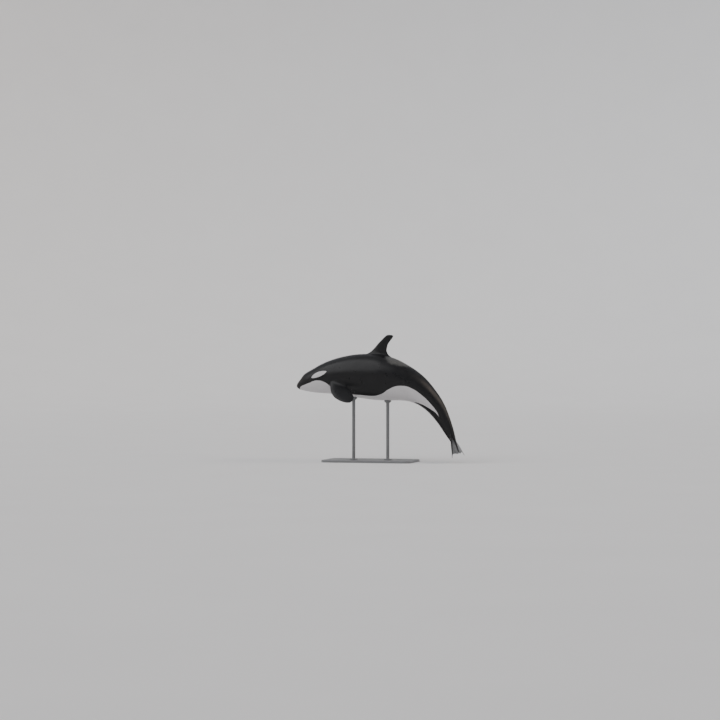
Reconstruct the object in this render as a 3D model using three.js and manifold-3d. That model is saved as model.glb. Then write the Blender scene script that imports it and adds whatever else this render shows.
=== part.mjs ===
// A killer whale, life size: an adult female arched in mid leap and held up by a plain display stand.
// Millimetres, +Z up. The snout points towards -X and the animal's left side faces -Y.
// The origin is on the floor, in the middle of the underside of the stand's base.

import * as THREE from "three";
import { mergeVertices, toCreasedNormals } from "three/addons/utils/BufferGeometryUtils.js";
import Module from "manifold-3d";

const wasm = await Module();
wasm.setup();

// Driving dimensions

const LENGTH = 5600; // snout to the notch between the flukes, along the bent spine
const GAP = 0.3; // left between pieces that touch
const SHORTEST_EDGE = 0.05; // a cut leaves no edge shorter than this
const INLAY = 45; // depth of a white or grey marking's own piece
const FIN_HEIGHT = 600;
const FLIPPER_LENGTH = 830;
const FLUKE_SPAN = 1540; // tip to tip
const TAIL_CLEARANCE = 160; // from the floor up to the lowest point of the flukes

// The snout is drawn out to a blunt beak, by so much at its tip, fading out at this share of the length
const SNOUT_DRAWN = 34;
const SNOUT_SHARE = 0.045;

// Shares of the length, from 0 at the snout to 1 at the notch
const NECK = 0.165;
const WAIST = 0.4;
const VENT = 0.64;
const FLUKES_START = 0.9;

// How the body bends: the slope of its middle line in degrees at shares of the length, up towards the tail
const BEND = [
  [0, 20.5],
  [0.06, 19],
  [0.13, 14.5],
  [0.2, 6],
  [0.28, 1.8],
  [0.36, -1.5],
  [0.44, -7],
  [0.52, -16],
  [0.59, -27],
  [0.66, -40],
  [0.73, -52],
  [0.8, -60],
  [0.88, -64],
  [1, -65],
];

// The body's sections at shares of the length: half height above and below the middle line, half width,
// and how square the upper and lower halves are, where 2 is an ellipse and less is keeled
const SECTIONS = [
  [0, 0, 0, 0, 2.1, 2.1],
  [0.025, 154, 170, 186, 2.1, 2.1],
  [0.056, 261, 275, 284, 2.15, 2.1],
  [0.102, 314, 382, 372, 2.15, 2.05],
  [0.163, 406, 478, 448, 2.1, 2.05],
  [0.245, 507, 574, 512, 2, 2],
  [0.327, 563, 642, 542, 2, 2],
  [0.408, 578, 680, 538, 1.95, 2],
  [0.48, 526, 652, 500, 1.9, 2],
  [0.551, 434, 566, 432, 1.85, 1.95],
  [0.622, 356, 446, 348, 1.8, 1.85],
  [0.693, 282, 334, 260, 1.75, 1.8],
  [0.763, 244, 246, 184, 1.7, 1.75],
  [0.83, 192, 178, 126, 1.7, 1.7],
  [0.9, 130, 122, 82, 1.7, 1.7],
  [0.95, 68, 70, 58, 1.8, 1.8],
  [0.985, 34, 34, 38, 2, 2],
  [1, 15, 15, 18, 2, 2],
];

const SIDE_BLEND = 0.5; // how far round the sides the upper and lower halves run into each other

// Places on the skin are a share of the length and a turn in degrees, from 0 on the back to 180 on the belly
const MOUTH_LINE = [
  [0, 92],
  [0.02, 93],
  [0.05, 94],
  [0.07, 93.5],
  [0.084, 97],
];
const JAW_HEEL = [0.122, 150]; // where the jaw's piece ends, below and behind the corner of the mouth
const THROAT_TOP = [
  [0.084, 97],
  [0.108, 96],
  [0.135, 100],
  [0.155, 106.5],
  [0.173, 115],
  [0.185, 124],
  [0.191, 134],
  [0.188, 151],
];
const BELLY_TOP = [
  [0.188, 151],
  [0.215, 156],
  [0.26, 153.5],
  [0.3, 151],
  [0.35, 148.5],
  [0.4, 147],
  [0.435, 143.5],
  [0.468, 135],
  [0.499, 121.5],
  [0.537, 108],
  [0.59, 98],
  [0.635, 96],
  [0.68, 96],
  [0.73, 95],
  [0.775, 93],
  [0.81, 100],
];
const BELLY_REAR = [
  [0.81, 100],
  [0.779, 106],
  [0.727, 130],
  [0.678, 147],
  [0.66, 165],
];
const SADDLE = [
  [0.462, 0],
  [0.446, 14],
  [0.452, 30],
  [0.474, 42],
  [0.505, 43],
  [0.53, 33],
  [0.55, 17],
  [0.56, 0],
];
const EYE_PATCH = [
  [0.095, 77],
  [0.106, 69],
  [0.128, 63.5],
  [0.153, 65.5],
  [0.178, 71],
  [0.174, 76.5],
  [0.161, 81.5],
  [0.142, 85],
  [0.12, 84.5],
  [0.101, 81.5],
];

const EYE = { share: 0.086, turn: 87, radius: 30, proud: 9 };
const LIDS = { radius: 30, thick: 9, long: 1.25, tall: 0.85 };
const LIP_GROOVE = { radius: 8, count: 9 };
const BLOWHOLE = { share: 0.106, aside: 3, halfWidth: 50, bow: 26, radius: 9 };

// Fin outlines: a share of the span, then the front and back edges in shares of the span
const DORSAL_FIN = [
  [0, -0.08, 0.85],
  [0.15, 0, 0.715],
  [0.3, 0.09, 0.655],
  [0.5, 0.21, 0.662],
  [0.7, 0.345, 0.735],
  [0.85, 0.455, 0.82],
  [0.94, 0.535, 0.85],
  [0.98, 0.6, 0.855],
  [1, 0.68, 0.825],
];
const FLIPPER = [
  [0, -0.22, 0.2],
  [0.15, -0.26, 0.235],
  [0.35, -0.3, 0.285],
  [0.55, -0.285, 0.315],
  [0.75, -0.2, 0.315],
  [0.88, -0.1, 0.275],
  [0.96, 0, 0.215],
  [1, 0.085, 0.145],
];
const FLUKE = [
  [0, -0.66, -0.03],
  [0.06, -0.635, 0.04],
  [0.14, -0.59, 0.07],
  [0.3, -0.475, 0.06],
  [0.5, -0.315, 0.035],
  [0.7, -0.135, 0.03],
  [0.85, 0, 0.058],
  [0.94, 0.085, 0.112],
  [1, 0.148, 0.165],
];

const FIN_ROOT = { share: 0.38, end: 0.468, halfThick: 38 };
const FLIPPER_ROOT = { share: 0.223, turn: 117, sweep: 32, pitch: 6, halfThick: 42 };
const FLIPPER_DROOP = { left: 41, right: 26 }; // the left hangs below the belly, the right is held out
const FLUKE_ROOT = { share: 0.955, halfThick: 34, droop: 55, aside: 6 };

// The display stand: a rounded slab and two upright rods, each with a foot and a cup for the belly
const BASE = { length: 2500, width: 1400, thick: 60, corner: 180, bevel: 8 };
const ROD = { radius: 45, foot: 110, footThick: 22, cup: 95, cupTall: 70, sunk: 60, turns: 28 };
const ROD_SHARES = { front: 0.29, rear: 0.49 };

const degrees = THREE.MathUtils.degToRad;

// A smooth curve without overshoot through one column of a table, against its first column.
// With power 2 the squares are joined, which rounds off an end that comes down to nothing.
function curveThrough(table, column, power = 1) {
  const at = table.map((row) => row[0]);
  const value = table.map((row) => row[column] ** power);
  const last = at.length - 1;
  const rise = (i) => (value[i + 1] - value[i]) / (at[i + 1] - at[i]);
  const slope = at.map((_, i) => {
    if (i === 0) return rise(0);
    if (i === last) return rise(last - 1);
    const before = rise(i - 1);
    const after = rise(i);
    return before * after <= 0 ? 0 : (2 * before * after) / (before + after);
  });
  return (x) => {
    let i = 0;
    while (i < last - 1 && x > at[i + 1]) i++;
    const width = at[i + 1] - at[i];
    const t = (x - at[i]) / width;
    const low = (1 + 2 * t) * (1 - t) ** 2 * value[i] + t * (1 - t) ** 2 * width * slope[i];
    const high = t * t * (3 - 2 * t) * value[i + 1] - t * t * (1 - t) * width * slope[i + 1];
    return Math.max(low + high, power > 1 ? 0 : -Infinity) ** (1 / power);
  };
}

// The body's middle line

const slopeAt = curveThrough(BEND, 1);
const SPINE_STEPS = 500;
const spine = [new THREE.Vector3()];
for (let i = 0; i < SPINE_STEPS; i++) {
  const slope = degrees(slopeAt((i + 0.5) / SPINE_STEPS));
  const step = new THREE.Vector3(Math.cos(slope), 0, Math.sin(slope)).multiplyScalar(LENGTH / SPINE_STEPS);
  spine.push(spine[i].clone().add(step));
}

const snoutward = spine[0].clone().sub(spine[1]).normalize();

function spineAt(share) {
  const i = Math.min(Math.floor(share * SPINE_STEPS), SPINE_STEPS - 1);
  const drawn = SNOUT_DRAWN * Math.max(1 - share / SNOUT_SHARE, 0) ** 2;
  return spine[i].clone().lerp(spine[i + 1], share * SPINE_STEPS - i).addScaledVector(snoutward, drawn);
}

const [above, below, side] = [1, 2, 3].map((column) => curveThrough(SECTIONS, column, 2));
const [squareAbove, squareBelow] = [4, 5].map((column) => curveThrough(SECTIONS, column));

// A point of the section at a share of the length, at an angle from the back over the left side. The two
// halves run into each other smoothly, and the sides are round however keeled the back and belly are.
function sectionPoint(share, angle) {
  const up = Math.cos(angle);
  const out = Math.sin(angle);
  const tilt = Math.tanh(up / SIDE_BLEND) / Math.tanh(1 / SIDE_BLEND);
  const reach = (above(share) + below(share) + tilt * (above(share) - below(share))) / 2;
  const power = 2 / (2 + ((up > 0 ? squareAbove : squareBelow)(share) - 2) * up * up);
  const height = Math.sign(up) * Math.abs(up) ** power * reach;
  const width = Math.sign(out) * Math.abs(out) ** power * side(share);
  const slope = degrees(slopeAt(share));
  return spineAt(share).add(new THREE.Vector3(-Math.sin(slope) * height, -width, Math.cos(slope) * height));
}

// The way out of the skin at a place
function skinNormal(share, angle) {
  const step = 0.002;
  const from = Math.max(share - step, 0.0005);
  const along = sectionPoint(Math.min(share + step, 1), angle).sub(sectionPoint(from, angle));
  const round = sectionPoint(share, angle + step).sub(sectionPoint(share, angle - step));
  return round.cross(along).normalize();
}

function skinPoint(share, angle, lift = 0) {
  const point = sectionPoint(share, angle);
  return lift ? point.addScaledVector(skinNormal(share, angle), lift) : point;
}

// Solids

function toSolid(geometry) {
  const bare = geometry.clone();
  bare.deleteAttribute("normal");
  bare.deleteAttribute("uv");
  const merged = mergeVertices(bare, 1e-3);
  const vertProperties = merged.attributes.position.array;
  const triVerts = new Uint32Array(merged.index.array);
  const mesh = { numProp: 3, vertProperties, triVerts, tolerance: SHORTEST_EDGE };
  const solid = () => new wasm.Manifold(new wasm.Mesh(mesh));
  if (solid().volume() < 0) triVerts.reverse();
  return solid();
}

// A closed skin over rings of points, with a fan of faces at each end. The quads of a ring's second half
// are split the other way from the first half's, so that the two sides of a body or a fin are alike.
function loft(rings) {
  const spokes = rings[0].length;
  const points = rings.flat();
  const faces = [];
  for (let i = 0; i < rings.length - 1; i++) {
    for (let j = 0; j < spokes; j++) {
      const next = (j + 1) % spokes;
      const [a, b, c, d] = [i * spokes + j, i * spokes + next, (i + 1) * spokes + next, (i + 1) * spokes + j];
      faces.push(...(j < spokes / 2 ? [a, b, c, a, c, d] : [a, b, d, b, c, d]));
    }
  }
  for (const [ring, forwards] of [[0, false], [rings.length - 1, true]]) {
    const middle = points.length;
    points.push(rings[ring].reduce((sum, p) => sum.add(p), new THREE.Vector3()).divideScalar(spokes));
    for (let j = 0; j < spokes; j++) {
      const [a, b] = [ring * spokes + j, ring * spokes + ((j + 1) % spokes)];
      faces.push(middle, ...(forwards ? [a, b] : [b, a]));
    }
  }
  const geometry = new THREE.BufferGeometry().setFromPoints(points);
  geometry.setIndex(faces);
  return toSolid(geometry);
}

function largestOf(solid) {
  return solid.decompose().sort((a, b) => b.volume() - a.volume())[0];
}

// Where the body's rings stand: closer together towards the rounded snout
const SPOKES = 40;
const HEAD_RINGS = 18;
const rings = [];
for (let i = 1; i < HEAD_RINGS; i++) rings.push(NECK * (i / HEAD_RINGS) ** 2);
for (const [from, to, count] of [[NECK, WAIST, 11], [WAIST, VENT, 11], [VENT, 1, 16]]) {
  for (let i = 0; i < count; i++) rings.push(from + ((to - from) * i) / count);
}
rings.push(1);

// The body between two shares of the length, its skin moved out by lift, from every nth ring and spoke
function bodyPiece(from, to, lift = 0, every = 1) {
  const inside = rings.filter((share, i) => share > from + 1e-4 && share < to - 1e-4 && i % every === 0);
  const shares = [...(from > 0 ? [from] : []), ...inside, to];
  const spokes = SPOKES / every;
  return loft(
    shares.map((share) =>
      Array.from({ length: spokes }, (_, j) => skinPoint(share, (2 * Math.PI * j) / spokes, lift)),
    ),
  );
}

// Markings: outlines drawn on the skin, seen from the side and pushed through the body

const sideView = ([share, turn]) => {
  const { x, z } = skinPoint(share, degrees(turn));
  return new THREE.Vector2(x, z);
};

// Points along a row of places on the skin, joined by a smooth curve
function smoothEdge(places, count) {
  return new THREE.SplineCurve(places.map(sideView)).getPoints(count);
}

// Places along the mouth line, closer together towards the rounded snout
const mouthTurn = curveThrough(MOUTH_LINE, 1);
const mouthPlaces = Array.from({ length: LIP_GROOVE.count + 1 }, (_, i) => {
  const share = MOUTH_LINE.at(-1)[0] * (i / LIP_GROOVE.count) ** 2;
  return [share, mouthTurn(share)];
});

// A closed outline, made larger all round
function grown(outline, by) {
  const outwards = THREE.ShapeUtils.isClockWise(outline) ? -1 : 1;
  const sideNormal = (from, to) => {
    const along = to.clone().sub(from).normalize();
    return new THREE.Vector2(along.y, -along.x).multiplyScalar(outwards);
  };
  return outline.map((point, i) => {
    const before = sideNormal(outline.at(i - 1), point);
    const after = sideNormal(point, outline[(i + 1) % outline.length]);
    return before.clone().add(after).multiplyScalar(by / Math.max(1 + before.dot(after), 0.1)).add(point);
  });
}

const WELL_ASIDE = 1500;

// A prism with that outline in the side view, from y = from to y = to
function sidePrism(outline, from = -WELL_ASIDE, to = WELL_ASIDE) {
  const depth = to - from;
  const geometry = new THREE.ExtrudeGeometry(new THREE.Shape(outline), { depth, bevelEnabled: false });
  geometry.rotateX(Math.PI / 2);
  geometry.translate(0, to, 0);
  return toSolid(geometry);
}

const wholeBody = bodyPiece(0, 1);
const CORE_ENDS = [0.03, 0.93];
const EVERY_CORE_RING = 2;
const core = bodyPiece(...CORE_ENDS, -INLAY, EVERY_CORE_RING);
const coreWithGap = bodyPiece(...CORE_ENDS, -INLAY - GAP, EVERY_CORE_RING);

// A marking as a piece as deep as the inlay, and the pocket that it lies in
function marking(outline, from = -WELL_ASIDE, to = WELL_ASIDE) {
  const piece = largestOf(wholeBody.intersect(sidePrism(outline, from, to)).subtract(core));
  const wider = [from, to].map((edge) => edge + Math.sign(edge) * GAP);
  const pocket = sidePrism(grown(outline, GAP), ...wider).subtract(coreWithGap);
  return { piece, pocket };
}

const WELL_BELOW = 900;
const under = (point) => new THREE.Vector2(point.x, point.y - WELL_BELOW);

function jawOutline() {
  const lips = mouthPlaces.map(sideView);
  const heel = sideView(JAW_HEEL);
  const ahead = lips[0].clone().add(new THREE.Vector2(-400, -150));
  return [ahead, ...lips, heel, under(heel), under(ahead)];
}

function throatOutline() {
  const top = smoothEdge(THROAT_TOP, 14);
  const heel = sideView(JAW_HEEL);
  return [...top, under(top.at(-1)), under(heel), heel];
}

function bellyOutline() {
  const top = smoothEdge(BELLY_TOP, 30);
  const rear = smoothEdge(BELLY_REAR, 8);
  return [...top, ...rear.slice(1), under(rear.at(-1)), under(top[0])];
}

function saddleOutline() {
  const edge = smoothEdge(SADDLE, 18);
  const over = (point) => new THREE.Vector2(point.x, point.y + WELL_BELOW);
  return [...edge, over(edge.at(-1)), over(edge[0])];
}

function eyePatchOutline() {
  return smoothEdge([...EYE_PATCH, EYE_PATCH[0]], 20).slice(0, -1);
}

// Half thickness of a streamlined section at a share of its chord, 1 at its thickest
function streamline(t) {
  return 10 * (0.2969 * Math.sqrt(t) - 0.126 * t - 0.3516 * t ** 2 + 0.2843 * t ** 3 - 0.1036 * t ** 4);
}

// A fin of streamlined sections. The outline's edges and span are in shares of the length given, and the
// root flares and reaches into the body, where the body's skin then cuts it off. place() takes the chord,
// thickness and span coordinates to the animal's frame.
function blade({ outline, length, halfThick, flare, sunk, place, spokes = 20, steps = 13 }) {
  const front = curveThrough(outline, 1);
  const back = curveThrough(outline, 2);
  const EDGE = 2.5; // half thickness at the edges
  const sections = sunk > 0 ? [-sunk] : [];
  for (let i = 0; i <= steps; i++) sections.push(1 - (1 - i / steps) ** 1.5);
  return loft(
    sections.map((span) => {
      const spread = Math.exp(-Math.max(span, 0) / flare.fade);
      const start = front(Math.max(span, 0)) - flare.front * spread;
      const end = back(Math.max(span, 0)) + flare.back * spread;
      const taper = 1 - 0.82 * Math.max(span, 0) ** 0.9;
      const thick = halfThick * taper * (end - start > 0.1 ? 1 : 0.5) + flare.thick * spread;
      return Array.from({ length: spokes }, (_, k) => {
        const angle = (2 * Math.PI * (k + 0.5)) / spokes;
        const along = (1 - Math.cos(angle)) / 2;
        const across = Math.sign(Math.sin(angle)) * (EDGE + thick * streamline(along));
        return place((start + (end - start) * along) * length, across, span * length);
      });
    }),
  );
}

const bodyWithGap = bodyPiece(0, 1, GAP);

function dorsalFin() {
  const root = skinPoint(FIN_ROOT.share, 0);
  const chord = skinPoint(FIN_ROOT.end, 0).sub(root).normalize();
  const out = new THREE.Vector3(-chord.z, 0, chord.x);
  const left = new THREE.Vector3(0, -1, 0);
  const fin = blade({
    outline: DORSAL_FIN,
    length: FIN_HEIGHT,
    halfThick: FIN_ROOT.halfThick,
    flare: { front: 0.13, back: 0.05, thick: 42, fade: 0.07 },
    sunk: 0.2,
    place: (x, y, z) =>
      root.clone().addScaledVector(chord, x).addScaledVector(left, y).addScaledVector(out, z),
  });
  return largestOf(fin.subtract(bodyWithGap));
}

// The left flipper for hand -1, the right for hand 1
function flipper(hand, droop) {
  const { share, turn, sweep, pitch, halfThick } = FLIPPER_ROOT;
  const root = skinPoint(share, degrees(-hand * turn));
  const span = new THREE.Vector3(
    Math.sin(degrees(sweep)),
    hand * Math.cos(degrees(sweep)) * Math.cos(degrees(droop)),
    -Math.cos(degrees(sweep)) * Math.sin(degrees(droop)),
  );
  const chord = new THREE.Vector3(1, 0, 0).addScaledVector(span, -span.x).normalize();
  chord.applyAxisAngle(span, degrees(hand * pitch));
  const across = span.clone().cross(chord);
  const curl = 45; // how far the tip bends down
  const fin = blade({
    outline: FLIPPER,
    length: FLIPPER_LENGTH,
    halfThick,
    flare: { front: 0.06, back: 0.05, thick: 26, fade: 0.08 },
    sunk: 0.3,
    place: (x, y, z) =>
      root
        .clone()
        .addScaledVector(chord, x)
        .addScaledVector(across, y)
        .addScaledVector(span, z)
        .add(new THREE.Vector3(0, 0, -curl * Math.max(z / FLIPPER_LENGTH, 0) ** 2)),
  });
  return largestOf(fin.subtract(bodyWithGap));
}

// The left fluke's blade
function fluke() {
  const halfSpan = FLUKE_SPAN / 2;
  const slope = degrees(slopeAt(FLUKE_ROOT.share));
  const along = new THREE.Vector3(Math.cos(slope), 0, Math.sin(slope));
  const up = new THREE.Vector3(-Math.sin(slope), 0, Math.cos(slope));
  const notch = spineAt(1);
  return blade({
    outline: FLUKE,
    length: halfSpan,
    halfThick: FLUKE_ROOT.halfThick,
    flare: { front: 0.05, back: 0, thick: 6, fade: 0.1 },
    sunk: 0,
    place: (x, y, z) =>
      notch
        .clone()
        .addScaledVector(along, x)
        .addScaledVector(up, y - FLUKE_ROOT.droop * (z / halfSpan) ** 2)
        .add(new THREE.Vector3(0, -z - FLUKE_ROOT.aside, 0)),
  });
}

// A round groove's solid along a row of points, none of which lie one above the other
function groove(points, radius) {
  const SIDES = 8;
  return loft(
    points.map((point, i) => {
      const before = points[Math.max(i - 1, 0)];
      const after = points[Math.min(i + 1, points.length - 1)];
      const along = after.clone().sub(before).normalize();
      const aside = along.clone().cross(new THREE.Vector3(0, 0, 1)).normalize();
      const up = aside.clone().cross(along);
      return Array.from({ length: SIDES }, (_, k) => {
        const angle = (2 * Math.PI * k) / SIDES;
        return point
          .clone()
          .addScaledVector(aside, radius * Math.cos(angle))
          .addScaledVector(up, radius * Math.sin(angle));
      });
    }),
  );
}

function lipGroove() {
  const left = mouthPlaces.map(([share, turn]) => skinPoint(share, degrees(turn)));
  const right = mouthPlaces.slice(1).map(([share, turn]) => skinPoint(share, degrees(-turn)));
  return groove([...left.reverse(), ...right], LIP_GROOVE.radius);
}

// The blowhole's slit, a little left of the middle, its ends bowed forwards
function blowhole() {
  const { share, aside, halfWidth, bow, radius } = BLOWHOLE;
  const STEPS = 8;
  const perDegree = degrees(1) * above(share);
  const points = Array.from({ length: STEPS + 1 }, (_, i) => {
    const t = (2 * i) / STEPS - 1;
    return skinPoint(share - (bow / LENGTH) * t * t, degrees(aside + (halfWidth * t) / perDegree));
  });
  return groove(points, radius);
}

// The eyeball and its raised lids for hand -1, the left, or 1, the right
function eye(hand) {
  const angle = degrees(-hand * EYE.turn);
  const out = skinNormal(EYE.share, angle);
  const behind = sectionPoint(EYE.share + 0.002, angle);
  const ahead = sectionPoint(EYE.share - 0.002, angle).sub(behind).normalize();
  const middle = skinPoint(EYE.share, angle);
  const ball = (more) => {
    const centre = middle.clone().addScaledVector(out, EYE.proud - EYE.radius);
    return toSolid(new THREE.IcosahedronGeometry(EYE.radius + more, 2).translate(...centre));
  };
  const frame = new THREE.Matrix4()
    .makeBasis(ahead, out.clone().cross(ahead), out)
    .scale(new THREE.Vector3(LIDS.long, LIDS.tall, 1))
    .setPosition(middle);
  const lids = toSolid(new THREE.TorusGeometry(LIDS.radius, LIDS.thick, 8, 24).applyMatrix4(frame));
  return { ball: ball(0), socket: ball(GAP), lids };
}

function standBase(floor, middleX) {
  const { length, width, thick, corner, bevel } = BASE;
  const [halfLength, halfWidth] = [length / 2 - bevel, width / 2 - bevel];
  const shape = new THREE.Shape();
  for (const [x, y, start] of [[1, 1, 0], [-1, 1, 0.5], [-1, -1, 1], [1, -1, 1.5]]) {
    const from = start * Math.PI;
    shape.absarc(x * (halfLength - corner), y * (halfWidth - corner), corner, from, from + Math.PI / 2);
  }
  const bevels = { bevelThickness: bevel, bevelSize: bevel, bevelSegments: 2 };
  const slab = new THREE.ExtrudeGeometry(shape, { depth: thick - 2 * bevel, curveSegments: 8, ...bevels });
  return toSolid(slab.translate(middleX, 0, floor + bevel));
}

function standRod(share, foot) {
  const belly = skinPoint(share, Math.PI);
  const top = belly.z - foot + ROD.sunk;
  const profile = [
    [0, 0],
    [ROD.foot, 0],
    [ROD.foot, ROD.footThick],
    [ROD.radius, ROD.footThick],
    [ROD.radius, top - ROD.sunk - ROD.cupTall],
    [ROD.cup, top - ROD.sunk - ROD.cupTall / 3],
    [ROD.cup, top],
    [0, top],
  ].map(([radius, height]) => new THREE.Vector2(radius, height));
  const rod = new THREE.LatheGeometry(profile, ROD.turns).rotateX(Math.PI / 2).translate(belly.x, 0, foot);
  return largestOf(toSolid(rod).subtract(bodyWithGap));
}

const BLACK = new THREE.MeshStandardMaterial({ color: 0x121317, roughness: 0.35, metalness: 0 });
const WHITE = new THREE.MeshStandardMaterial({ color: 0xd9d6d3, roughness: 0.4, metalness: 0 });
const GREY = new THREE.MeshStandardMaterial({ color: 0x5a5a5e, roughness: 0.4, metalness: 0 });
const EYE_BROWN = new THREE.MeshStandardMaterial({ color: 0x1c120c, roughness: 0.08, metalness: 0 });
const PAINTED = new THREE.MeshStandardMaterial({ color: 0x6f7377, roughness: 0.55, metalness: 0.2 });

const orca = new THREE.Group();

function addNode(name, solid, material) {
  const { vertProperties, triVerts } = solid.getMesh();
  const geometry = new THREE.BufferGeometry();
  geometry.setAttribute("position", new THREE.BufferAttribute(vertProperties, 3));
  geometry.setIndex(new THREE.BufferAttribute(triVerts, 1));
  const mesh = new THREE.Mesh(toCreasedNormals(geometry, 0.6), material.clone());
  mesh.name = name;
  orca.add(mesh);
}

const lipLine = lipGroove();
const jaw = {
  piece: largestOf(wholeBody.intersect(sidePrism(jawOutline())).subtract(lipLine)),
  pocket: sidePrism(grown(jawOutline(), GAP)),
};
const throat = marking(throatOutline());
const belly = marking(bellyOutline());
const saddle = marking(saddleOutline());
const eyePatches = {
  left: marking(eyePatchOutline(), -WELL_ASIDE, -60),
  right: marking(eyePatchOutline(), 60, WELL_ASIDE),
};
const eyes = { left: eye(-1), right: eye(1) };
const leftFluke = fluke();
const pockets = [jaw, throat, belly, saddle, eyePatches.left, eyePatches.right].map((inlay) => inlay.pocket);

const cutAway = (piece) => largestOf(pockets.reduce((left, pocket) => left.subtract(pocket), piece));
const seam = GAP / LENGTH;

const plainHead = cutAway(bodyPiece(0, NECK)).subtract(lipLine).subtract(blowhole());
const lidded = plainHead.add(eyes.left.lids).add(eyes.right.lids);
const head = largestOf(lidded.subtract(eyes.left.socket).subtract(eyes.right.socket));

const flukes = bodyPiece(FLUKES_START + seam, 1).add(leftFluke).add(leftFluke.mirror([0, 1, 0]));
const floor = flukes.boundingBox().min[2] - TAIL_CLEARANCE;
const rodFoot = floor + BASE.thick + GAP;
const baseX = (skinPoint(ROD_SHARES.front, Math.PI).x + skinPoint(ROD_SHARES.rear, Math.PI).x) / 2;

addNode("head", head, BLACK);
addNode("lower_jaw", jaw.piece, WHITE);
addNode("throat", largestOf(throat.piece.subtract(jaw.pocket)), WHITE);
addNode("eye_left", eyes.left.ball, EYE_BROWN);
addNode("eye_right", eyes.right.ball, EYE_BROWN);
addNode("eye_patch_left", eyePatches.left.piece, WHITE);
addNode("eye_patch_right", eyePatches.right.piece, WHITE);
addNode("chest", cutAway(bodyPiece(NECK + seam, WAIST)), BLACK);
addNode("abdomen", cutAway(bodyPiece(WAIST + seam, VENT)), BLACK);
addNode("belly", belly.piece, WHITE);
addNode("tail_stock", cutAway(bodyPiece(VENT + seam, FLUKES_START)), BLACK);
addNode("saddle_patch", saddle.piece, GREY);
addNode("dorsal_fin", dorsalFin(), BLACK);
addNode("flipper_left", flipper(-1, FLIPPER_DROOP.left), BLACK);
addNode("flipper_right", flipper(1, FLIPPER_DROOP.right), BLACK);
addNode("flukes", flukes, BLACK);
addNode("stand_base", standBase(floor, baseX), PAINTED);
addNode("stand_rod_front", standRod(ROD_SHARES.front, rodFoot), PAINTED);
addNode("stand_rod_rear", standRod(ROD_SHARES.rear, rodFoot), PAINTED);

for (const mesh of orca.children) mesh.geometry.translate(-baseX, 0, -floor);

export default orca;
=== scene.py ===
import math

import bpy
import numpy as np
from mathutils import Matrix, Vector
from mathutils.bvhtree import BVHTree


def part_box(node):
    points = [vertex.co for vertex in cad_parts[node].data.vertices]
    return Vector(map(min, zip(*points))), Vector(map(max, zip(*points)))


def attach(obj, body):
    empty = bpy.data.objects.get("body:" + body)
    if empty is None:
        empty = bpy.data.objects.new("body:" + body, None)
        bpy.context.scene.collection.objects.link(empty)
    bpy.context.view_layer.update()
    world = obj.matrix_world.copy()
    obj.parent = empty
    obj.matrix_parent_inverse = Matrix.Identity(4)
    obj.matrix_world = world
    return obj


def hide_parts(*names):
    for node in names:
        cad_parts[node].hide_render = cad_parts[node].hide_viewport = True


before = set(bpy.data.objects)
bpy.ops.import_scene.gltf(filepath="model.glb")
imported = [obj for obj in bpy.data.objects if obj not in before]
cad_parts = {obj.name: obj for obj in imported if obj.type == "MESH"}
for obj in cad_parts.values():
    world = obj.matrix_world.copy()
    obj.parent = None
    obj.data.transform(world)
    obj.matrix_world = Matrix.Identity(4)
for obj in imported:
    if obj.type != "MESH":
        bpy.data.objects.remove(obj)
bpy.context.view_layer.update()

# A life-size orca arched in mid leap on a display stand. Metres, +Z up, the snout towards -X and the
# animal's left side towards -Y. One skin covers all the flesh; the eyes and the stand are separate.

# The body's driving dimensions, the same as the solids have

LENGTH = 5.6
SNOUT_DRAWN = 0.034
SNOUT_SHARE = 0.045
SIDE_BLEND = 0.5
BEND = [
    (0, 20.5), (0.06, 19), (0.13, 14.5), (0.2, 6), (0.28, 1.8), (0.36, -1.5), (0.44, -7),
    (0.52, -16), (0.59, -27), (0.66, -40), (0.73, -52), (0.8, -60), (0.88, -64), (1, -65),
]
# Share of the length, half height above and below, half width, squareness above and below
SECTIONS = [
    (0, 0, 0, 0, 2.1, 2.1),
    (0.025, 0.154, 0.170, 0.186, 2.1, 2.1),
    (0.056, 0.261, 0.275, 0.284, 2.15, 2.1),
    (0.102, 0.314, 0.382, 0.372, 2.15, 2.05),
    (0.163, 0.406, 0.478, 0.448, 2.1, 2.05),
    (0.245, 0.507, 0.574, 0.512, 2, 2),
    (0.327, 0.563, 0.642, 0.542, 2, 2),
    (0.408, 0.578, 0.680, 0.538, 1.95, 2),
    (0.48, 0.526, 0.652, 0.500, 1.9, 2),
    (0.551, 0.434, 0.566, 0.432, 1.85, 1.95),
    (0.622, 0.356, 0.446, 0.348, 1.8, 1.85),
    (0.693, 0.282, 0.334, 0.260, 1.75, 1.8),
    (0.763, 0.244, 0.246, 0.184, 1.7, 1.75),
    (0.83, 0.192, 0.178, 0.126, 1.7, 1.7),
    (0.9, 0.130, 0.122, 0.082, 1.7, 1.7),
    (0.95, 0.068, 0.070, 0.058, 1.8, 1.8),
    (0.985, 0.034, 0.034, 0.038, 2, 2),
    (1, 0.015, 0.015, 0.018, 2, 2),
]

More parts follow.
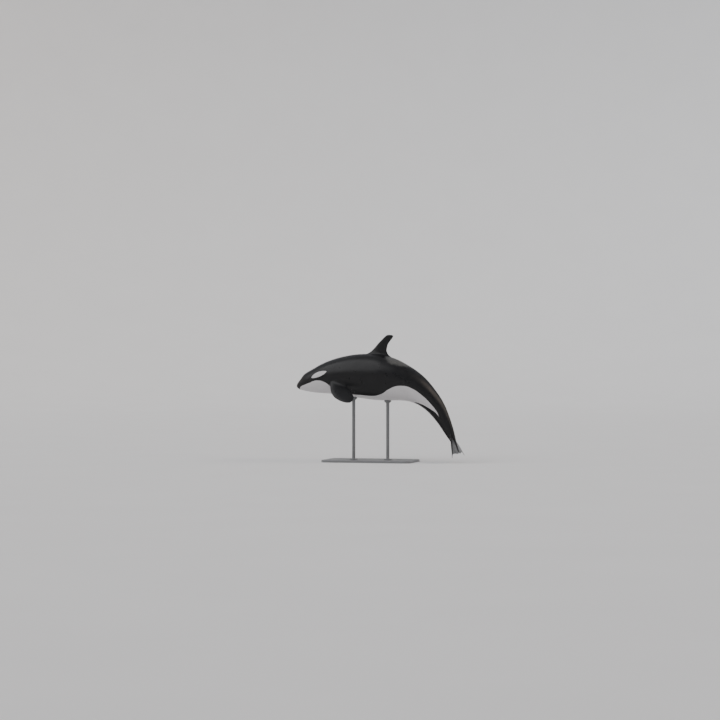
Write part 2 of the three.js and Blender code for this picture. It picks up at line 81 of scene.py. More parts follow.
# Places on the skin: a share of the length and a turn in degrees, from 0 on the back to 180 on the belly
MOUTH_END = 0.084
MOUTH_LINE = [
    (0, 92), (0.02, 93), (0.05, 94), (0.07, 93.5), (MOUTH_END, 97), (0.11, 97.5), (0.16, 94),
    (0.22, 91.6), (1, 91.6),
]
# The white starts a little behind the snout's tip, so the lower jaw's tip stays black: this black at the
# tip is painted shade
JAW_TOP = [
    (0.013, 180), (0.013, 150), (0.0145, 130), (0.019, 114), (0.026, 105), (0.036, 101), (0.05, 100),
    (0.07, 98), (0.084, 98),
]
THROAT_TOP = [
    (0.084, 97), (0.108, 96), (0.135, 100), (0.155, 106.5), (0.173, 115), (0.185, 124), (0.191, 134),
    (0.188, 151),
]
BELLY_TOP = [
    (0.188, 151), (0.215, 156), (0.26, 153.5), (0.3, 151), (0.35, 148.5), (0.4, 147), (0.435, 143.5),
    (0.468, 135), (0.499, 121.5), (0.537, 108), (0.59, 98), (0.635, 96), (0.68, 96), (0.73, 95),
    (0.775, 93), (0.81, 100),
]
BELLY_REAR = [(0.81, 100), (0.779, 106), (0.727, 130), (0.678, 147), (0.66, 165)]
SADDLE = [
    (0.462, 0), (0.446, 14), (0.452, 30), (0.474, 42), (0.505, 43), (0.53, 33), (0.55, 17), (0.56, 0),
]
EYE_PATCH = [
    (0.095, 77), (0.106, 69), (0.128, 63.5), (0.153, 65.5), (0.178, 71), (0.174, 76.5), (0.161, 81.5),
    (0.142, 85), (0.12, 84.5), (0.101, 81.5),
]

EYE = {"share": 0.086, "turn": 87, "radius": 0.030, "proud": 0.009}
BLOWHOLE = {"share": 0.106, "aside": 3, "half_width": 0.050, "bow": 0.026}

# Fin outlines: a share of the span, then the front and back edges in shares of the span
DORSAL_FIN = [
    (0, -0.08, 0.85), (0.15, 0, 0.715), (0.3, 0.09, 0.655), (0.5, 0.21, 0.662), (0.7, 0.345, 0.735),
    (0.85, 0.455, 0.82), (0.94, 0.535, 0.85), (0.98, 0.6, 0.855), (1, 0.68, 0.825),
]
FLIPPER = [
    (0, -0.22, 0.2), (0.15, -0.26, 0.235), (0.35, -0.3, 0.285), (0.55, -0.285, 0.315),
    (0.75, -0.2, 0.315), (0.88, -0.1, 0.275), (0.96, 0, 0.215), (1, 0.085, 0.145),
]
FLUKE = [
    (0, -0.66, -0.03), (0.06, -0.635, 0.04), (0.14, -0.59, 0.07), (0.3, -0.475, 0.06),
    (0.5, -0.315, 0.035), (0.7, -0.135, 0.03), (0.85, 0, 0.058), (0.94, 0.085, 0.112),
    (1, 0.148, 0.165),
]
FIN_HEIGHT = 0.6
FLIPPER_LENGTH = 0.83
FLUKE_HALF_SPAN = 0.77
FLIPPER_CURL = 0.045
FLUKE_DROOP = 0.055
FLUKE_ASIDE = 0.006
HALF_THICK = {"dorsal_fin": 0.038, "flipper": 0.042, "fluke": 0.034}
FLIPPER_ROOT = {"share": 0.223, "turn": 117, "sweep": 32, "pitch": 6}
FLIPPER_HANG = {"left": 41, "right": 26}
FIN_ROOT = {"share": 0.38, "end": 0.468}
FLUKE_SLOPE_AT = 0.955
BLADE_EDGE = 0.0025  # half thickness at a fin's back edge
# How a fin widens towards its root: ahead and behind in shares of its span, in half thickness in metres,
# and the share of the span over which this fades
FLARE = {
    "dorsal_fin": {"front": 0.13, "back": 0.05, "thick": 0.042, "fade": 0.07},
    "flipper": {"front": 0, "back": 0, "thick": 0.015, "fade": 0.08},
    "fluke": {"front": 0.05, "back": 0, "thick": 0.006, "fade": 0.1},
}

SCENE = bpy.context.scene
HANDS = {"left": -1, "right": 1}


def curve_through(rows, column, power=1):
    """A smooth curve without overshoot through one column of a table, against its first column.
    With power 2 the squares are joined, which rounds off an end that comes down to nothing."""
    at = np.array([row[0] for row in rows], float)
    value = np.array([row[column] for row in rows], float) ** power
    rise = np.diff(value) / np.diff(at)
    slope = np.concatenate([rise[:1], np.zeros(len(at) - 2), rise[-1:]])
    product = rise[:-1] * rise[1:]
    total = np.where(product > 0, rise[:-1] + rise[1:], 1)
    slope[1:-1] = np.where(product > 0, 2 * product / total, 0)

    def curve(x):
        x = np.asarray(x, float)
        i = np.clip(np.searchsorted(at, x) - 1, 0, len(at) - 2)
        width = at[i + 1] - at[i]
        t = (x - at[i]) / width
        low = (1 + 2 * t) * (1 - t) ** 2 * value[i] + t * (1 - t) ** 2 * width * slope[i]
        high = t * t * (3 - 2 * t) * value[i + 1] - t * t * (1 - t) * width * slope[i + 1]
        return low + high if power == 1 else np.maximum(low + high, 0) ** (1 / power)

    return curve


def smoothstep(low, high, x):
    t = np.clip((np.asarray(x, float) - low) / (high - low), 0, 1)
    return t * t * (3 - 2 * t)


def bell(distance, half_width):
    """A smooth bump that is 1 at distance 0."""
    return np.exp(-((distance / half_width) ** 2))


def within(value, low, high):
    """How far a value lies between two limits, negative outside them."""
    return np.minimum(value - low, high - value)


def unit(vectors):
    return vectors / np.linalg.norm(vectors, axis=-1, keepdims=True)


# The body's surface

slope_at = curve_through(BEND, 1)
above, below, side = [curve_through(SECTIONS, column, 2) for column in (1, 2, 3)]
square_above, square_below = [curve_through(SECTIONS, column) for column in (4, 5)]
mouth_turn = curve_through(MOUTH_LINE, 1)

SPINE_STEPS = 500
spine_slope = np.radians(slope_at((np.arange(SPINE_STEPS) + 0.5) / SPINE_STEPS))
spine_at = np.arange(SPINE_STEPS + 1) / SPINE_STEPS
spine_x = np.concatenate([[0], np.cumsum(np.cos(spine_slope)) * LENGTH / SPINE_STEPS])
spine_z = np.concatenate([[0], np.cumsum(np.sin(spine_slope)) * LENGTH / SPINE_STEPS])


def section(share, angle, origin=(0, 0, 0)):
    """Points of the sections at shares of the length, at angles from the back over the left side."""
    up, out = np.cos(angle), np.sin(angle)
    tilt = np.tanh(up / SIDE_BLEND) / np.tanh(1 / SIDE_BLEND)
    reach = (above(share) + below(share) + tilt * (above(share) - below(share))) / 2
    square = np.where(up > 0, square_above(share), square_below(share))
    power = 2 / (2 + (square - 2) * up * up)
    height = np.sign(up) * np.abs(up) ** power * reach
    width = np.sign(out) * np.abs(out) ** power * side(share)
    slope = np.radians(slope_at(share))
    drawn = SNOUT_DRAWN * np.maximum(1 - share / SNOUT_SHARE, 0) ** 2
    x = np.interp(share, spine_at, spine_x) - np.sin(slope) * height - drawn * math.cos(spine_slope[0])
    z = np.interp(share, spine_at, spine_z) + np.cos(slope) * height - drawn * math.sin(spine_slope[0])
    return np.stack([x, -width, z], -1) + np.array(origin)


SMALL_STEP = 0.002  # in share of the length or in radians, for a slope of the surface


def section_normal(share, angle):
    stride = np.minimum(SMALL_STEP, share / 2)
    along = section(np.minimum(share + stride, 1), angle) - section(share - stride, angle)
    around = section(share, angle + SMALL_STEP) - section(share, angle - SMALL_STEP)
    return unit(np.cross(around, along))


# The solids' frame: where the computed left eyeball lies, against where it is

eye_angle = math.radians(EYE["turn"])
eye_middle = section(EYE["share"], eye_angle)
eye_out = section_normal(EYE["share"], eye_angle)
eye_low, eye_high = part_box("eye_left")
BALL_DEPTH = EYE["proud"] - EYE["radius"]
ORIGIN = (np.array(eye_low) + np.array(eye_high)) / 2 - (eye_middle + eye_out * BALL_DEPTH)


def skin(share, angle, height=None):
    """Points on the skin, or so many metres out of it."""
    points = section(share, angle, ORIGIN)
    return points if height is None else points + section_normal(share, angle) * height[:, None]


# The skin's grid: rings at shares of the length and columns round each ring. The columns of one side run
# from the back to the belly and gather along the line of the mouth.

SIDE_COLUMNS = 220
MOUTH_COLUMN = 112
COLUMNS = 2 * SIDE_COLUMNS
GATHERED = 0.78
GATHER_POWER = 2.2
GATHER_FADE = (0.1, 0.18)
HEAD_END = 0.1
SPACED_ALONG = math.radians(60)  # the line on the skin along which the rings keep their spacing
# Holes in the grid, where finer forms go: between which shares, and between which turns at which share
HOLES = {
    "dorsal_fin": ((0.349, 0.48), (-9.5, 9.5), 0.42),
    "flipper": ((0.176, 0.28), (103, 131), 0.223),
    "fluke": ((0.905, 1), (78, 102), 0.95),
    "eye": ((0.0735, 0.0985), (78.2, 95.2), 0.086),
    "blowhole": ((0.0955, 0.115), (-19, 19), 0.106),
}
RING_SPACING = [(0, 0.004), (0.17, 0.0045), (0.24, 0.011), (0.85, 0.011), (0.92, 0.008), (1, 0.006)]


def ring_shares():
    head = HEAD_END * np.linspace(0, 1, 2000) ** 2
    fine = np.concatenate([head, np.linspace(HEAD_END, 1, 4000)[1:]])
    points = section(fine, np.full_like(fine, SPACED_ALONG))
    steps = np.linalg.norm(np.diff(points, axis=0), axis=1)
    spacing = curve_through(RING_SPACING, 1)((fine[1:] + fine[:-1]) / 2)
    count = np.concatenate([[0], np.cumsum(steps / spacing)])
    rings = int(count[-1])
    return np.interp(np.linspace(0, count[-1], rings + 1)[1:], count, fine)


def gathered(t, share):
    amount = GATHERED * (1 - smoothstep(*GATHER_FADE, share))
    return (1 - amount) * t + amount * (1 - (1 - t) ** GATHER_POWER)


def column_angle(share, column):
    """The angle of a column, counted from the back; the right side's columns have negative angles."""
    column = (np.asarray(column) + SIDE_COLUMNS) % COLUMNS - SIDE_COLUMNS
    side_column = np.abs(column)
    line = mouth_turn(share)
    upper = line * gathered(np.minimum(side_column / MOUTH_COLUMN, 1), share)
    under = np.clip((SIDE_COLUMNS - side_column) / (SIDE_COLUMNS - MOUTH_COLUMN), 0, 1)
    lower = 180 - (180 - line) * gathered(under, share)
    return np.radians(np.where(side_column <= MOUTH_COLUMN, upper, lower)) * np.where(column < 0, -1, 1)


shares = ring_shares()
RINGS = len(shares)
grid_share, grid_column = np.meshgrid(shares, np.arange(COLUMNS), indexing="ij")
grid_angle = column_angle(grid_share, grid_column)


def ring_at(share):
    return int(np.argmin(np.abs(shares - share)))


def column_at(share, turn):
    """The column nearest to a turn in degrees, negative for a negative turn."""
    turns = np.degrees(column_angle(share, np.arange(SIDE_COLUMNS + 1)))
    return int(np.sign(turn) * np.argmin(np.abs(turns - abs(turn))))


# Relief of the skin

GROOVE = {"depth": 0.010, "half_width": 0.0036, "end": (MOUTH_END - 0.006, MOUTH_END + 0.001)}
# Swellings along the mouth's line: metres below the line, height, half width
LIPS = [(-0.014, 0.0022, 0.010), (0.013, 0.00286, 0.010)]
CORNER = {"depth": 0.004, "half_tall": 0.012, "half_long": 0.016}
# Creases that run along the belly: share, metres aside of the middle, length, depth, half width
CREASES = [
    (0.665, 0, 0.16, 0.007, 0.010),
    (0.668, 0.055, 0.05, 0.004, 0.008),
    (0.535, 0, 0.07, 0.004, 0.012),
]
EAR = {"share": 0.1045, "turn": 89, "depth": 0.003, "radius": 0.005}


def relief(share, angle):
    """How far the skin stands out of the plain body: the mouth, the lips, the ear pit and creases."""
    radius = np.hypot(side(share), (above(share) + below(share)) / 2) / math.sqrt(2)
    turn = np.abs(np.degrees(angle))
    under_line = radius * np.sin(np.radians(np.clip(turn - mouth_turn(share), -90, 90)))
    mouth = -GROOVE["depth"] * bell(under_line, GROOVE["half_width"])
    for at, height, half_width in LIPS:
        mouth = mouth + height * bell(under_line - at, half_width)
    mouth = mouth * (1 - smoothstep(*GROOVE["end"], share))
    behind = (share - MOUTH_END) * LENGTH
    corner = -CORNER["depth"] * bell(under_line, CORNER["half_tall"]) * bell(behind, CORNER["half_long"])
    from_middle = radius * np.radians(180 - turn)
    creases = 0
    for at, aside, length, depth, half_width in CREASES:
        along = 2 * (share - at) * LENGTH / length
        creases = creases - depth * bell(from_middle - aside, half_width) * np.exp(-(along**4))
    behind = (share - EAR["share"]) * LENGTH
    under = radius * np.radians(turn - EAR["turn"])
    ear = -EAR["depth"] * bell(behind, EAR["radius"]) * bell(under, EAR["radius"])
    return mouth + corner + creases + ear


# Points and faces of the whole skin are gathered here

points = [skin(grid_share, grid_angle).reshape(-1, 3)]
places = [np.stack([grid_share, grid_angle], -1).reshape(-1, 2)]
travel = [np.zeros(RINGS * COLUMNS)]  # how far out along a fin, in metres
fluke_white = [np.full(RINGS * COLUMNS, -1.0)]
faces = []
kept = np.ones((RINGS - 1, COLUMNS), bool)


def grid_id(ring, column):
    return ring * COLUMNS + np.asarray(column) % COLUMNS


def add_points(new, new_places, new_travel=0.0, white=-1.0):
    first = sum(len(p) for p in points)
    points.append(np.asarray(new, float).reshape(-1, 3))
    count = len(points[-1])
    places.append(np.broadcast_to(new_places, (count, 2)).astype(float))
    travel.append(np.broadcast_to(new_travel, (count,)).astype(float))
    fluke_white.append(np.broadcast_to(white, (count,)).astype(float))
    return first + np.arange(count)


def all_points():
    return np.concatenate(points)


def cut_hole(name, hand=-1):
    """Takes the cells of a hole out of the grid, mirrored to the right side for hand 1, and gives its
    edge's points as (rings, columns)."""
    between, turns, at = HOLES[name]
    first_ring, last_ring = [ring_at(share) for share in between]
    first_column, last_column = sorted(-hand * column_at(at, turn) for turn in turns)
    rows, columns = np.arange(last_ring - first_ring), np.arange(last_column - first_column)
    kept[first_ring:last_ring, (first_column + columns) % COLUMNS] = False
    tall, wide = len(rows), len(columns)
    rings = np.concatenate([0 * columns, rows, 0 * columns + tall, tall - rows])
    across = np.concatenate([columns, 0 * rows + wide, wide - columns, 0 * rows])
    return first_ring + rings, first_column + across


def join(outer, inner):
    """Quads between two closed rows of points of the same count."""
    a, b = np.asarray(outer), np.asarray(inner)
    faces.extend(np.stack([a, np.roll(a, -1), np.roll(b, -1), b], 1).tolist())


def add_ring(previous, new, new_places, *more):
    """Adds a row of points and joins it to the row before."""
    ids = add_points(new, new_places, *more)
    join(previous, ids)
    return ids


def close(loop, middle):
    loop = np.asarray(loop)
    faces.extend(np.stack([loop, np.roll(loop, -1), np.full(len(loop), middle)], 1).tolist())


# Fins

def streamline(t):
    """Half thickness of a streamlined section at a share of its chord, 1 at its thickest. The numbers
    are those of the usual formula for a symmetric wing."""
    t = np.clip(t, 0, 1)
    return 10 * (0.2969 * np.sqrt(t) - 0.126 * t - 0.3516 * t**2 + 0.2843 * t**3 - 0.1036 * t**4)


class Blade:
    """A fin of streamlined sections, from a root along three directions: chord, thickness and span. It
    bends by curl at its tip."""

    ROUNDED = 0.965  # beyond this share of the span the tip is rounded off
    THINNING = 0.82  # the share of the root's thickness that is gone at the tip
    THINNING_POWER = 0.9
    NARROW_CHORD = (0.06, 0.16)  # between these chords a section goes from half to full thickness
    EDGE_ROUNDING = 3

    def __init__(self, kind, outline, length, root, directions, curl=(0, 0, 0)):
        self.front = curve_through(outline, 1)
        self.back = curve_through(outline, 2)
        self.half_thick, self.flare = HALF_THICK[kind], FLARE[kind]
        self.length, self.root, self.directions, self.curl = length, root, directions, np.array(curl)

    def point(self, span, phi):
        """Points at a share of the span; phi is 0 at the front edge and pi at the back edge."""
        near_root = np.exp(-span / self.flare["fade"])
        start = self.front(span) - self.flare["front"] * near_root
        end = self.back(span) + self.flare["back"] * near_root
        chord = end - start
        thick = self.half_thick * (1 - self.THINNING * span**self.THINNING_POWER)
        thick = thick * np.interp(chord, self.NARROW_CHORD, [0.5, 1])
        thick = thick + self.flare["thick"] * near_root
        past = np.clip((span - self.ROUNDED) / (1 - self.ROUNDED), 0, 1)
        full = np.sqrt(1 - past**2)
        along = (1 - np.cos(phi)) / 2
        edge = BLADE_EDGE * np.sqrt(np.clip(self.EDGE_ROUNDING * np.abs(np.sin(phi)), 0, 1))
        across = np.sign(np.sin(phi)) * (edge + thick * streamline(along)) * full
        middle = (start + end) / 2
        at = middle + (start + chord * along - middle) * full
        metres = [np.asarray(value)[..., None] for value in (at * self.length, across, span * self.length)]
        bend = self.curl * np.maximum(metres[2] / self.length, 0) ** 2
        return self.root + sum(np.array(way) * by for way, by in zip(self.directions, metres)) + bend


FILLET_RINGS = 14
FILLET_PULL = 0.62
ROOT_STEP = 0.01  # in share of the span, for the way a fin's side runs at its root
INSET_RINGS = 6
# The white underside of a fluke, in shares of its chord from the front and of its span from the root,
# and how far outside it the upper side counts
FLUKE_WHITE = {"chord": (0.10, 0.84), "span": (0.05, 0.87), "above": (0.002, 0.05)}
TIP_SPANS = np.sin(np.linspace(0, math.pi / 2, 8)[1:-1])


def spread(values):
    """Values moved and scaled to run from -1 to 1."""
    return 2 * (values - values.min()) / (values.max() - values.min()) - 1


def inset_ellipse(loop, share, angle, u, v, fill):
    """Rings on the skin from the edge of a hole to an ellipse that fills this much of it."""
    theta = np.arctan2(v, u)

    def ellipse(values, reach):
        return (values.max() + values.min()) / 2 + (values.max() - values.min()) / 2 * fill * reach

    goal_share = ellipse(share, np.cos(theta))
    goal_angle = ellipse(angle, np.sin(theta))
    for t in np.linspace(0, 1, INSET_RINGS + 1)[1:]:
        new_share = share + (goal_share - share) * t
        new_angle = angle + (goal_angle - angle) * t
        loop = add_ring(loop, skin(new_share, new_angle), np.stack([new_share, new_angle], -1))
    return loop, goal_share, goal_angle


def graft(blade, hole, root_span, squeeze, spacing, lean=0, fill=None, white_below=False):
    """Grows a fin out of a hole in the skin, with a fillet all round its root. The fillet meets the fin
    at this share of its span, by lean less at the front edge and by as much more at the back edge."""
    rings, columns = hole
    loop = grid_id(rings, columns)
    share = shares[rings]
    angle = column_angle(share, columns)
    u = spread(rings)
    v = spread(columns)
    if fill:
        loop, share, angle = inset_ellipse(loop, share, angle, u, v * squeeze, fill)
    loop_points = skin(share, angle)
    normals = section_normal(share, angle)
    upper = loop_points[v > 0.99].mean(0) - loop_points[v < -0.99].mean(0)
    way = 1 if np.dot(upper, blade.directions[1]) > 0 else -1
    phi = np.arctan2(way * v * squeeze, -u)
    base = np.stack([share, angle], -1)

    root_span = root_span - lean * np.cos(phi)
    outset = blade.point(root_span, phi)
    rise = unit(blade.point(root_span + ROOT_STEP, phi) - blade.point(root_span - ROOT_STEP, phi))
    drop = np.sum((outset - loop_points) * normals, -1) / np.sum(rise * normals, -1)
    foot = outset - rise * drop[:, None]
    first = loop_points + FILLET_PULL * (foot - loop_points)
    second = outset + FILLET_PULL * (foot - outset)

    previous = loop
    previous_points = loop_points
    far = np.zeros(len(loop))

    def grow(new, span):
        nonlocal previous, previous_points, far
        far = far + np.linalg.norm(new - previous_points, axis=1)
        previous = add_ring(previous, new, base, far, whiteness(span))
        previous_points = new

    def whiteness(span):
        """How deep inside the white underside of a fluke a point lies."""
        if not white_below:
            return -1.0
        chord = (blade.back(span) - blade.front(span)) * blade.length
        inside = np.minimum(within((1 - np.cos(phi)) / 2, *FLUKE_WHITE["chord"]) * chord,
                            within(span, *FLUKE_WHITE["span"]) * blade.length)
        least, more = FLUKE_WHITE["above"]
        return np.where(np.sin(phi) < 0, inside, -np.abs(np.sin(phi)) * more - least)

    for t in np.linspace(0, 1, FILLET_RINGS + 1)[1:]:
        new = (
            (1 - t) ** 3 * loop_points
            + 3 * (1 - t) ** 2 * t * first
            + 3 * (1 - t) * t**2 * second
            + t**3 * outset
        )
        grow(new, root_span * t)
    count = int((blade.ROUNDED - root_span.min()) * blade.length / spacing)
    tip_spans = blade.ROUNDED + (1 - blade.ROUNDED) * TIP_SPANS
    for span in [*np.linspace(root_span, blade.ROUNDED, count + 1)[1:], *tip_spans]:
        grow(blade.point(span, phi), span)
    middle = add_points(previous_points.mean(0), base[0], far[0], -1.0)[0]
    close(previous, middle)


fin_root = skin(FIN_ROOT["share"], 0.0)
fin_chord = unit(skin(FIN_ROOT["end"], 0.0) - fin_root)
fin_out = np.array([-fin_chord[2], 0, fin_chord[0]])


def flipper(hand, hang):
    root = skin(FLIPPER_ROOT["share"], math.radians(-hand * FLIPPER_ROOT["turn"]))
    sweep, hang = math.radians(FLIPPER_ROOT["sweep"]), math.radians(hang)
    span = np.array([
        math.sin(sweep),
        hand * math.cos(sweep) * math.cos(hang),
        -math.cos(sweep) * math.sin(hang),
    ])
    level = unit(np.array([1, 0, 0]) - span * span[0])
    pitch = math.radians(hand * FLIPPER_ROOT["pitch"])
    chord = level * math.cos(pitch) + np.cross(span, level) * math.sin(pitch)
    directions = (chord, np.cross(span, chord), span)
    return Blade("flipper", FLIPPER, FLIPPER_LENGTH, root, directions, (0, 0, -FLIPPER_CURL))


def fluke(hand):
    slope = math.radians(float(slope_at(FLUKE_SLOPE_AT)))
    along = np.array([math.cos(slope), 0, math.sin(slope)])
    up = np.array([-math.sin(slope), 0, math.cos(slope)])
    aside = np.array([0, hand, 0])
    root = np.array([spine_x[-1], 0, spine_z[-1]]) + ORIGIN + aside * FLUKE_ASIDE
    return Blade("fluke", FLUKE, FLUKE_HALF_SPAN, root, (along, up, aside), up * -FLUKE_DROOP)


# The fins on the body

graft(
    Blade("dorsal_fin", DORSAL_FIN, FIN_HEIGHT, fin_root, (fin_chord, (0, -1, 0), fin_out)),
    cut_hole("dorsal_fin"), root_span=0.12, squeeze=0.6, spacing=0.008, fill=0.93,
)
for name, hand in HANDS.items():
    graft(
        flipper(hand, FLIPPER_HANG[name]), cut_hole("flipper", hand), root_span=0.155, squeeze=0.6,
        spacing=0.009, lean=0.125, fill=0.92,
    )
for hand in HANDS.values():
    graft(
        fluke(hand), cut_hole("fluke", hand), root_span=0.14, squeeze=0.3, spacing=0.009, white_below=True,
    )


# Insets: finer rings from a hole in the grid to a closed line inside it

def metres_per_radian(share, angle):
    """How far the skin runs round the body at a place, for each radian of the angle."""
    turned = 0.01
    return float(np.linalg.norm(section(share, angle + turned) - section(share, angle))) / turned


def local_place(centre_share, centre_angle, ahead, up):
    """The place on the skin that lies so many metres ahead of and above another."""
    turn = up / metres_per_radian(centre_share, centre_angle)
    return centre_share - ahead / LENGTH, centre_angle - np.sign(centre_angle) * turn


def local_metres(centre_share, centre_angle, share, angle):
    """How many metres places on the skin lie ahead of and above another."""
    reach = metres_per_radian(centre_share, centre_angle)
    return (centre_share - share) * LENGTH, (centre_angle - angle) * np.sign(centre_angle) * reach


def eye_frame(hand):
    """An eye's place on the skin and its angle there, and the ways out, towards the snout and up."""
    share, angle = EYE["share"], math.radians(-hand * EYE["turn"])
    out = section_normal(share, angle)
    toward = skin(share - SMALL_STEP, angle) - skin(share + SMALL_STEP, angle)
    toward = unit(toward - out * np.dot(toward, out))
    return skin(share, angle), angle, out, toward, np.cross(toward, out) * -hand


LID = {
    "half_long": 0.026, "half_tall": 0.0145, "thick": 0.0042, "tilt": 7, "pointed": 0.3, "rings": 33,
    "crowding": 0.92, "hole_shape": 0.75, "upper": (-0.2, 0.6), "blend": 0.15,
}
# Distances from the middle of the eye, with 1 at the lids' edge: where the lids slope down to the skin,
# and where the flat round the eye runs into the curved skin
LID_SLOPE = (1.15, 2.5)
LID_FLAT = (1.0, 1.6)
# Folds round the lids: such a distance, half width, depth above the eye, depth below it
LID_FOLDS = [(1.75, 0.13, 0.0022, 0), (2.35, 0.16, 0.0012, 0.0012), (1.8, 0.12, 0, 0.0011)]
# The lids' edge turns in towards the ball: share of the opening, metres down
LID_EDGE = [(0.985, 0.0004), (0.962, 0.0013), (0.948, 0.0026), (0.945, 0.0037)]
SOCKET = {"slack": 0.0008, "lid_slack": 0.0004, "rings": 10, "turn": 1.25, "sink": 0.9}


def eye_region(hand, hole):
    """The lids round an eye, and the hollow that the eyeball lies in."""
    middle, centre_angle, out, toward, above_it = eye_frame(hand)
    centre = (EYE["share"], centre_angle)
    rings, columns = hole
    share = shares[rings]
    ahead, up = local_metres(*centre, share, column_angle(share, columns))
    theta = np.arctan2(up / LID["hole_shape"], ahead)
    tilt = math.radians(LID["tilt"])
    open_x = LID["half_long"] * np.cos(theta)
    open_y = LID["half_tall"] * np.sin(theta) * np.abs(np.sin(theta)) ** LID["pointed"]
    inner_x = open_x * math.cos(tilt) + open_y * math.sin(tilt)
    inner_y = open_y * math.cos(tilt) - open_x * math.sin(tilt)

    def on_ball(x, y, slack):
        return BALL_DEPTH + np.sqrt(np.maximum((EYE["radius"] + slack) ** 2 - x**2 - y**2, 0))

    def on_flat(x, y, height):
        return middle + toward * x[:, None] + above_it * y[:, None] + out * height[:, None]

    lid_height = on_ball(inner_x, inner_y, 0) + LID["thick"]
    upper = smoothstep(*LID["upper"], np.sin(theta))
    previous = grid_id(rings, columns)
    for f in np.linspace(0, 1, LID["rings"] + 1)[1:] ** LID["crowding"]:
        x = ahead + (inner_x - ahead) * f
        y = up + (inner_y - up) * f
        far = np.hypot((x * math.cos(tilt) - y * math.sin(tilt)) / LID["half_long"],
                       (y * math.cos(tilt) + x * math.sin(tilt)) / LID["half_tall"])
        folds = 0
        for at, half_width, depth_above, depth_below in LID_FOLDS:
            folds = folds - (depth_above * upper + depth_below * (1 - upper)) * bell(far - at, half_width)
        new_share, new_angle = local_place(*centre, x, y)
        height = lid_height * (1 - smoothstep(*LID_SLOPE, far)) + folds * smoothstep(0, LID["blend"], f)
        on_skin = skin(new_share, new_angle, height + relief(new_share, new_angle))
        near = (1 - smoothstep(*LID_FLAT, far))[:, None]
        base = np.stack([new_share, new_angle], -1)
        previous = add_ring(previous, on_skin * (1 - near) + on_flat(x, y, height) * near, base)
    for inward, lower in LID_EDGE:
        x, y = inner_x * inward, inner_y * inward
        new = on_flat(x, y, np.maximum(lid_height - lower, on_ball(x, y, SOCKET["lid_slack"])))
        previous = add_ring(previous, new, base)
    ball_centre = middle + out * BALL_DEPTH
    start = unit(new - ball_centre)
    radius = EYE["radius"] + SOCKET["slack"]
    for t in np.linspace(0, 1, SOCKET["rings"] + 2)[1:-1]:
        turn = t * SOCKET["turn"]
        turned = start * np.cos(turn) - out * (np.sin(turn) + SOCKET["sink"] * t)
        previous = add_ring(previous, ball_centre + unit(turned) * radius, base)
    bottom = add_points(ball_centre - out * radius, base[0])[0]
    close(previous, bottom)


# The skin round the slit: height, metres from the slit, half width
BLOWHOLE_RELIEF = [(0.0032, 0.014, 0.010), (-0.0016, 0.038, 0.011), (-0.0035, 0, 0.004)]
# The slit's walls: metres down, share of the slit's width
BLOWHOLE_WALLS = [(0.006, 0.9), (0.011, 0.75), (0.018, 0.6), (0.026, 0.35)]
SLIT = {"lips": 0.0019, "ends": 0.02, "hole_shape": 1.3, "rings": 25, "blend": 0.2}


def blowhole_region(hole):
    """A crescent slit with a raised rim, a little left of the middle, its ends bowed forwards."""
    centre_share = BLOWHOLE["share"]
    aside = math.radians(BLOWHOLE["aside"])
    rings, columns = hole
    share = shares[rings]
    angle = column_angle(share, columns)
    reach = float(above(centre_share))
    ahead = (centre_share - share) * LENGTH
    left = (angle - aside) * reach
    theta = np.arctan2(left / SLIT["hole_shape"], ahead)
    half = BLOWHOLE["half_width"]
    slit_left = half * np.sin(theta)
    outward = (slit_left / half) ** 2
    arc = BLOWHOLE["bow"] * outward
    slit_ahead = arc + SLIT["lips"] * np.cos(theta) * np.sqrt(np.clip(1 - outward, 0, 1) + SLIT["ends"])
    previous = grid_id(rings, columns)
    for f in np.linspace(0, 1, SLIT["rings"] + 1)[1:]:
        x = ahead + (slit_ahead - ahead) * f
        y = left + (slit_left - left) * f
        from_slit = np.hypot(x - slit_ahead, y - slit_left)
        height = sum(tall * bell(from_slit - at, half_width) for tall, at, half_width in BLOWHOLE_RELIEF)
        height = height * smoothstep(0, SLIT["blend"], f)
        new_share, new_angle = centre_share - x / LENGTH, aside + y / reach
        base = np.stack([new_share, new_angle], -1)
        previous = add_ring(previous, skin(new_share, new_angle, height), base)
    edge = skin(new_share, new_angle)
    out = section_normal(new_share, new_angle)
    middle_line = skin(centre_share - arc / LENGTH, new_angle)
    for depth, narrow in BLOWHOLE_WALLS:
        new = middle_line + (edge - middle_line) * narrow - out * depth
        previous = add_ring(previous, new, base)
    floor = add_points(new.mean(0), base[0])[0]
    close(previous, floor)


for hand in HANDS.values():
    eye_region(hand, cut_hole("eye", hand))
blowhole_region(cut_hole("blowhole"))

# The grid's own faces, the snout's tip and the tail's end, a low dome between the flukes

TAIL_DOME = [(0.8, 0.003), (0.5, 0.0055), (0.2, 0.0065)]  # share of the end's width, metres out
TAIL_DOME_TALL = 0.0067

ring_index, column_index = np.nonzero(kept)
faces.extend(np.stack([
    grid_id(ring_index, column_index),
    grid_id(ring_index, column_index + 1),
    grid_id(ring_index + 1, column_index + 1),
    grid_id(ring_index + 1, column_index),
], 1).tolist())
tip = add_points(skin(0.0, 0.0), (0.0, math.radians(90)))[0]
close(grid_id(0, np.arange(COLUMNS))[::-1], tip)
end_ring = grid_id(RINGS - 1, np.arange(COLUMNS))
end_points = all_points()[end_ring]
end_middle = end_points.mean(0)
rearward = np.array([math.cos(spine_slope[-1]), 0, math.sin(spine_slope[-1])])
for shrink, out_by in TAIL_DOME:
    dome = end_middle + (end_points - end_middle) * shrink + rearward * out_by
    end_ring = add_ring(end_ring, dome, (1.0, 0.0))
close(end_ring, add_points(end_middle + rearward * TAIL_DOME_TALL, (1.0, 0.0))[0])


# Markings, as depths inside outlines that are drawn in the side view

def side_view(share, angle):
    return skin(share, angle)[:, [0, 2]]


EDGE_STEPS = 6


